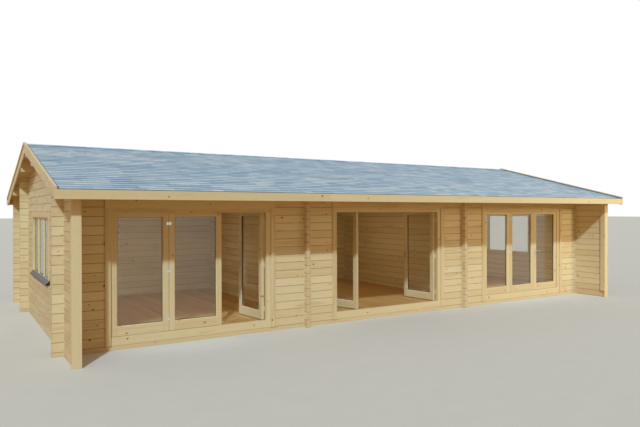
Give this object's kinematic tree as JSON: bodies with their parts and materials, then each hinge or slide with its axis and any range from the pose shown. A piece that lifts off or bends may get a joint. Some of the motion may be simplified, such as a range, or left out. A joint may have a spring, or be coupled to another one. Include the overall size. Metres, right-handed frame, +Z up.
{
  "type": "log cabin",
  "caption": "Long single-storey log cabin with a low gable roof, glazed folding door sets with hinged passage leaves, end windows and short wing walls.",
  "frame": {"origin": "centre of the building's bounding box on the ground, under the middle of the ridge", "axes": "+X runs along the front towards the right as seen from outside, -Y faces the front, +Z is up"},
  "size_m": [12.71, 7.392, 3.36],
  "materials": {
    "pine": "matt untreated pine with knots",
    "floor_boards": "satin boards",
    "shingle": "rough mineral grit on bitumen",
    "dark_sill": "satin",
    "hinge_metal": "satin",
    "handle_metal": "satin",
    "glass": "clear"
  },
  "bodies": {
    "cabin": {"front_sill_log": "pine", "front_wall": "pine", "front_header": "pine", "back_wall": "pine", "inner_wall": "pine", "end_wall_left": "pine", "end_wall_right": "pine", "gable_left": "pine", "gable_right": "pine", "partition_left": "pine", "partition_right": "pine", "wing_posts": "pine", "floor": "floor_boards", "roof_boards_front": "pine", "roof_boards_back": "pine", "shingles_front": "shingle", "shingles_back": "shingle", "ridge_cap": "shingle", "fascias": "pine", "bargeboards": "pine", "purlins": "pine", "end_window_left": "pine", "end_window_right": "pine", "window_sills": "dark_sill", "end_glass": "glass", "door_frame_left": "pine", "door_frame_middle": "pine", "door_frame_right": "pine", "folding_leaves_left": "pine", "folding_leaves_middle": "pine", "folding_leaves_right": "pine", "folding_glass": "glass", "door_hinges": "hinge_metal"},
    "door_left": {"passage_leaf_left": "pine", "passage_glass_left": "glass", "door_handle_left": "handle_metal"},
    "door_middle": {"passage_leaf_middle": "pine", "passage_glass_middle": "glass", "door_handle_middle": "handle_metal"},
    "door_right": {"passage_leaf_right": "pine", "passage_glass_right": "glass", "door_handle_right": "handle_metal"}
  },
  "joints": [
    {"name": "passage_door_left", "type": "hinge", "parent": "cabin", "child": "door_left", "pos_m": [-2.808, -2.567, 1.14], "axis": [0, 0, -1], "range_deg": [-86, 9]},
    {"name": "passage_door_middle", "type": "hinge", "parent": "cabin", "child": "door_middle", "pos_m": [1.2475, -2.567, 1.14], "axis": [0, 0, -1], "range_deg": [-85, 10]},
    {"name": "passage_door_right", "type": "hinge", "parent": "cabin", "child": "door_right", "pos_m": [5.2625, -2.567, 1.14], "axis": [0, 0, -1], "range_deg": [0, 95]}
  ]
}
